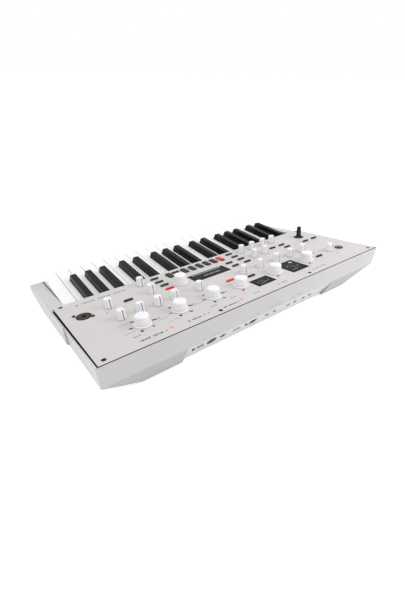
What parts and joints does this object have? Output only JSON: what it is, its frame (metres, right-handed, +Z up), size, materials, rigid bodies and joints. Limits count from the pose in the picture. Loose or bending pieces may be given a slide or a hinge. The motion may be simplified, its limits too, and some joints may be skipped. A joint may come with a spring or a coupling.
{
  "type": "synthesizer keyboard",
  "caption": "Compact wedge-shaped synthesizer with a full-width keyboard, a sloping panel of knobs, buttons, displays and a joystick, and a socket bay in its undercut rear.",
  "frame": {"origin": "on the ground under the middle of the case", "axes": "+X towards the treble end of the keyboard, +Y towards the rear sockets, +Z up"},
  "size_m": [0.565, 0.338, 0.0839],
  "materials": {
    "case_shell": "fine matt moulding, cool light grey",
    "panel": "satin warm light grey paint with dark printed marks",
    "dark_screw": "black oxide",
    "rubber": "matt black",
    "inner_frame": "moulded, dark grey",
    "steel": "ground bar",
    "circuit_board": "green solder mask",
    "dark_plastic": "moulded, near black",
    "display_black": "polished, black",
    "red_lens": "clear red",
    "knob_white": "smooth satin moulding",
    "white_key": "polished, slightly warm white",
    "black_key": "satin black",
    "button_dark": "soft dark grey"
  },
  "bodies": {
    "case": {"lower_case": "case_shell", "upper_case": "case_shell", "top_panel": "panel", "case_screws": "dark_screw", "rubber_feet": "rubber", "keybed_frame": "inner_frame", "key_pivot_rod": "steel", "key_contact_board": "circuit_board", "control_board": "circuit_board", "pots_and_switches": "dark_plastic", "main_board": "circuit_board", "rear_sockets": "dark_plastic", "panel_sockets": "dark_plastic", "display_modules": "dark_plastic", "display_windows": "display_black", "panel_leds": "red_lens"},
    "osc1_shape_knob": {"osc1_shape_knob": "knob_white"},
    "osc1_pitch_knob": {"osc1_pitch_knob": "knob_white"},
    "osc2_shape_knob": {"osc2_shape_knob": "knob_white"},
    "osc2_pitch_knob": {"osc2_pitch_knob": "knob_white"},
    "noise_level_knob": {"noise_level_knob": "knob_white"},
    "cutoff_knob": {"cutoff_knob": "knob_white"},
    "resonance_knob": {"resonance_knob": "knob_white"},
    "filter_envelope_knob": {"filter_envelope_knob": "knob_white"},
    "drive_knob": {"drive_knob": "knob_white"},
    "voice_level_knob": {"voice_level_knob": "knob_white"},
    "attack_knob": {"attack_knob": "knob_white"},
    "decay_knob": {"decay_knob": "knob_white"},
    "edit_upper_knob": {"edit_upper_knob": "knob_white"},
    "voice_tune_knob": {"voice_tune_knob": "knob_white"},
    "tempo_knob": {"tempo_knob": "knob_white"},
    "gate_knob": {"gate_knob": "knob_white"},
    "sustain_knob": {"sustain_knob": "knob_white"},
    "release_knob": {"release_knob": "knob_white"},
    "edit_lower_knob": {"edit_lower_knob": "knob_white"},
    "volume_knob": {"volume_knob": "knob_white"},
    "osc1_wave_selector": {"osc1_wave_selector": "knob_white"},
    "osc2_wave_selector": {"osc2_wave_selector": "knob_white"},
    "filter_type_selector": {"filter_type_selector": "knob_white"},
    "modulation_selector": {"modulation_selector": "knob_white"},
    "delay_type_selector": {"delay_type_selector": "knob_white"},
    "voice_effect_selector": {"voice_effect_selector": "knob_white"},
    "program_dial": {"program_dial": "knob_white"},
    "white_keys_c": {"white_keys_c": "white_key"},
    "white_keys_d": {"white_keys_d": "white_key"},
    "white_keys_e": {"white_keys_e": "white_key"},
    "white_keys_f": {"white_keys_f": "white_key"},
    "white_keys_g": {"white_keys_g": "white_key"},
    "white_keys_a": {"white_keys_a": "white_key"},
    "white_keys_b": {"white_keys_b": "white_key"},
    "black_keys_c_sharp": {"black_keys_c_sharp": "black_key"},
    "black_keys_d_sharp": {"black_keys_d_sharp": "black_key"},
    "black_keys_f_sharp": {"black_keys_f_sharp": "black_key"},
    "black_keys_g_sharp": {"black_keys_g_sharp": "black_key"},
    "black_keys_a_sharp": {"black_keys_a_sharp": "black_key"},
    "category_buttons": {"category_buttons": "button_dark"},
    "panel_buttons": {"panel_buttons": "button_dark"},
    "power_button": {"power_button": "button_dark"},
    "joystick_gimbal": {"joystick_gimbal": "inner_frame"},
    "joystick": {"joystick": "dark_plastic"}
  },
  "joints": [
    {"name": "osc1_shape_knob_turn", "type": "hinge", "parent": "case", "child": "osc1_shape_knob", "pos_m": [-0.168, 0.08341, 0.06266], "axis": [0, -0.1461, 0.9893], "range_deg": [-150, 150]},
    {"name": "osc1_pitch_knob_turn", "type": "hinge", "parent": "case", "child": "osc1_pitch_knob", "pos_m": [-0.1335, 0.08341, 0.06266], "axis": [0, -0.1461, 0.9893], "range_deg": [-150, 150]},
    {"name": "osc2_shape_knob_turn", "type": "hinge", "parent": "case", "child": "osc2_shape_knob", "pos_m": [-0.0975, 0.08341, 0.06266], "axis": [0, -0.1461, 0.9893], "range_deg": [-150, 150]},
    {"name": "osc2_pitch_knob_turn", "type": "hinge", "parent": "case", "child": "osc2_pitch_knob", "pos_m": [-0.0565, 0.08341, 0.06266], "axis": [0, -0.1461, 0.9893], "range_deg": [-150, 150]},
    {"name": "noise_level_knob_turn", "type": "hinge", "parent": "case", "child": "noise_level_knob", "pos_m": [-0.017, 0.08341, 0.06266], "axis": [0, -0.1461, 0.9893], "range_deg": [-150, 150]},
    {"name": "cutoff_knob_turn", "type": "hinge", "parent": "case", "child": "cutoff_knob", "pos_m": [0.077, 0.08341, 0.06266], "axis": [0, -0.1461, 0.9893], "range_deg": [-150, 150]},
    {"name": "resonance_knob_turn", "type": "hinge", "parent": "case", "child": "resonance_knob", "pos_m": [0.123, 0.08341, 0.06266], "axis": [0, -0.1461, 0.9893], "range_deg": [-150, 150]},
    {"name": "filter_envelope_knob_turn", "type": "hinge", "parent": "case", "child": "filter_envelope_knob", "pos_m": [0.152, 0.08341, 0.06266], "axis": [0, -0.1461, 0.9893], "range_deg": [-150, 150]},
    {"name": "drive_knob_turn", "type": "hinge", "parent": "case", "child": "drive_knob", "pos_m": [0.1815, 0.08341, 0.06266], "axis": [0, -0.1461, 0.9893], "range_deg": [-150, 150]},
    {"name": "voice_level_knob_turn", "type": "hinge", "parent": "case", "child": "voice_level_knob", "pos_m": [0.211, 0.08341, 0.06266], "axis": [0, -0.1461, 0.9893], "range_deg": [-150, 150]},
    {"name": "attack_knob_turn", "type": "hinge", "parent": "case", "child": "attack_knob", "pos_m": [-0.115, 0.0379, 0.05594], "axis": [0, -0.1461, 0.9893], "range_deg": [-150, 150]},
    {"name": "decay_knob_turn", "type": "hinge", "parent": "case", "child": "decay_knob", "pos_m": [-0.087, 0.0379, 0.05594], "axis": [0, -0.1461, 0.9893], "range_deg": [-150, 150]},
    {"name": "edit_upper_knob_turn", "type": "hinge", "parent": "case", "child": "edit_upper_knob", "pos_m": [0.139, 0.0379, 0.05594], "axis": [0, -0.1461, 0.9893], "range_deg": [-150, 150]},
    {"name": "voice_tune_knob_turn", "type": "hinge", "parent": "case", "child": "voice_tune_knob", "pos_m": [0.211, 0.0379, 0.05594], "axis": [0, -0.1461, 0.9893], "range_deg": [-150, 150]},
    {"name": "tempo_knob_turn", "type": "hinge", "parent": "case", "child": "tempo_knob", "pos_m": [-0.171, 0.00031, 0.05038], "axis": [0, -0.1461, 0.9893], "range_deg": [-150, 150]},
    {"name": "gate_knob_turn", "type": "hinge", "parent": "case", "child": "gate_knob", "pos_m": [-0.145, 0.00031, 0.05038], "axis": [0, -0.1461, 0.9893], "range_deg": [-150, 150]},
    {"name": "sustain_knob_turn", "type": "hinge", "parent": "case", "child": "sustain_knob", "pos_m": [-0.115, 0.00031, 0.05038], "axis": [0, -0.1461, 0.9893], "range_deg": [-150, 150]},
    {"name": "release_knob_turn", "type": "hinge", "parent": "case", "child": "release_knob", "pos_m": [-0.087, 0.00031, 0.05038], "axis": [0, -0.1461, 0.9893], "range_deg": [-150, 150]},
    {"name": "edit_lower_knob_turn", "type": "hinge", "parent": "case", "child": "edit_lower_knob", "pos_m": [0.139, 0.00031, 0.05038], "axis": [0, -0.1461, 0.9893], "range_deg": [-150, 150]},
    {"name": "volume_knob_turn", "type": "hinge", "parent": "case", "child": "volume_knob", "pos_m": [-0.206, 0.11754, 0.0677], "axis": [0, -0.1461, 0.9893], "range_deg": [-150, 150]},
    {"name": "osc1_wave_selector_turn", "type": "hinge", "parent": "case", "child": "osc1_wave_selector", "pos_m": [-0.1385, 0.11754, 0.0677], "axis": [0, -0.1461, 0.9893], "range_deg": [-150, 150]},
    {"name": "osc2_wave_selector_turn", "type": "hinge", "parent": "case", "child": "osc2_wave_selector", "pos_m": [-0.0575, 0.11754, 0.0677], "axis": [0, -0.1461, 0.9893], "range_deg": [-150, 150]},
    {"name": "filter_type_selector_turn", "type": "hinge", "parent": "case", "child": "filter_type_selector", "pos_m": [0.02, 0.11754, 0.0677], "axis": [0, -0.1461, 0.9893], "range_deg": [-150, 150]},
    {"name": "modulation_selector_turn", "type": "hinge", "parent": "case", "child": "modulation_selector", "pos_m": [0.076, 0.11754, 0.0677], "axis": [0, -0.1461, 0.9893], "range_deg": [-150, 150]},
    {"name": "delay_type_selector_turn", "type": "hinge", "parent": "case", "child": "delay_type_selector", "pos_m": [0.136, 0.11754, 0.0677], "axis": [0, -0.1461, 0.9893], "range_deg": [-150, 150]},
    {"name": "voice_effect_selector_turn", "type": "hinge", "parent": "case", "child": "voice_effect_selector", "pos_m": [0.196, 0.11754, 0.0677], "axis": [0, -0.1461, 0.9893], "range_deg": [-150, 150]},
    {"name": "program_dial_turn", "type": "hinge", "parent": "case", "child": "program_dial", "pos_m": [0.0835, 0.03889, 0.05608], "axis": [0, -0.1461, 0.9893], "continuous": true},
    {"name": "white_keys_c_press", "type": "hinge", "parent": "case", "child": "white_keys_c", "pos_m": [0, 0.014, 0.024], "axis": [1, 0, 0], "range_deg": [0, 2.8], "stiffness_Nm_per_rad": 2, "springref_deg": -8.59},
    {"name": "white_keys_d_press", "type": "hinge", "parent": "case", "child": "white_keys_d", "pos_m": [0, 0.014, 0.024], "axis": [1, 0, 0], "range_deg": [0, 2.8], "stiffness_Nm_per_rad": 2, "springref_deg": -8.59},
    {"name": "white_keys_e_press", "type": "hinge", "parent": "case", "child": "white_keys_e", "pos_m": [0, 0.014, 0.024], "axis": [1, 0, 0], "range_deg": [0, 2.8], "stiffness_Nm_per_rad": 2, "springref_deg": -8.59},
    {"name": "white_keys_f_press", "type": "hinge", "parent": "case", "child": "white_keys_f", "pos_m": [0, 0.014, 0.024], "axis": [1, 0, 0], "range_deg": [0, 2.8], "stiffness_Nm_per_rad": 2, "springref_deg": -8.59},
    {"name": "white_keys_g_press", "type": "hinge", "parent": "case", "child": "white_keys_g", "pos_m": [0, 0.014, 0.024], "axis": [1, 0, 0], "range_deg": [0, 2.8], "stiffness_Nm_per_rad": 2, "springref_deg": -8.59},
    {"name": "white_keys_a_press", "type": "hinge", "parent": "case", "child": "white_keys_a", "pos_m": [0, 0.014, 0.024], "axis": [1, 0, 0], "range_deg": [0, 2.8], "stiffness_Nm_per_rad": 2, "springref_deg": -8.59},
    {"name": "white_keys_b_press", "type": "hinge", "parent": "case", "child": "white_keys_b", "pos_m": [0, 0.014, 0.024], "axis": [1, 0, 0], "range_deg": [0, 2.8], "stiffness_Nm_per_rad": 2, "springref_deg": -8.59},
    {"name": "black_keys_c_sharp_press", "type": "hinge", "parent": "case", "child": "black_keys_c_sharp", "pos_m": [0, 0.014, 0.024], "axis": [1, 0, 0], "range_deg": [0, 2.8], "stiffness_Nm_per_rad": 2, "springref_deg": -8.59},
    {"name": "black_keys_d_sharp_press", "type": "hinge", "parent": "case", "child": "black_keys_d_sharp", "pos_m": [0, 0.014, 0.024], "axis": [1, 0, 0], "range_deg": [0, 2.8], "stiffness_Nm_per_rad": 2, "springref_deg": -8.59},
    {"name": "black_keys_f_sharp_press", "type": "hinge", "parent": "case", "child": "black_keys_f_sharp", "pos_m": [0, 0.014, 0.024], "axis": [1, 0, 0], "range_deg": [0, 2.8], "stiffness_Nm_per_rad": 2, "springref_deg": -8.59},
    {"name": "black_keys_g_sharp_press", "type": "hinge", "parent": "case", "child": "black_keys_g_sharp", "pos_m": [0, 0.014, 0.024], "axis": [1, 0, 0], "range_deg": [0, 2.8], "stiffness_Nm_per_rad": 2, "springref_deg": -8.59},
    {"name": "black_keys_a_sharp_press", "type": "hinge", "parent": "case", "child": "black_keys_a_sharp", "pos_m": [0, 0.014, 0.024], "axis": [1, 0, 0], "range_deg": [0, 2.8], "stiffness_Nm_per_rad": 2, "springref_deg": -8.59},
    {"name": "category_buttons_press", "type": "slide", "parent": "case", "child": "category_buttons", "axis": [0, 0.1461, -0.9893], "range_m": [0, 0.0008], "stiffness_N_per_m": 800, "springref_m": -0.0006},
    {"name": "panel_buttons_press", "type": "slide", "parent": "case", "child": "panel_buttons", "axis": [0, 0.1461, -0.9893], "range_m": [0, 0.0008], "stiffness_N_per_m": 800, "springref_m": -0.0006},
    {"name": "power_button_press", "type": "slide", "parent": "case", "child": "power_button", "axis": [0, -0.8721, 0.4893], "range_m": [0, 0.0015], "stiffness_N_per_m": 300, "springref_m": -0.001},
    {"name": "joystick_tilt_fore_aft", "type": "hinge", "parent": "case", "child": "joystick_gimbal", "pos_m": [-0.2375, 0.01937, 0.04107], "axis": [1, 0, 0], "range_deg": [-15, 15], "stiffness_Nm_per_rad": 0.06},
    {"name": "joystick_tilt_sideways", "type": "hinge", "parent": "joystick_gimbal", "child": "joystick", "pos_m": [-0.2375, 0.01937, 0.04107], "axis": [0, 0.9893, 0.1461], "range_deg": [-15, 15], "stiffness_Nm_per_rad": 0.06}
  ]
}
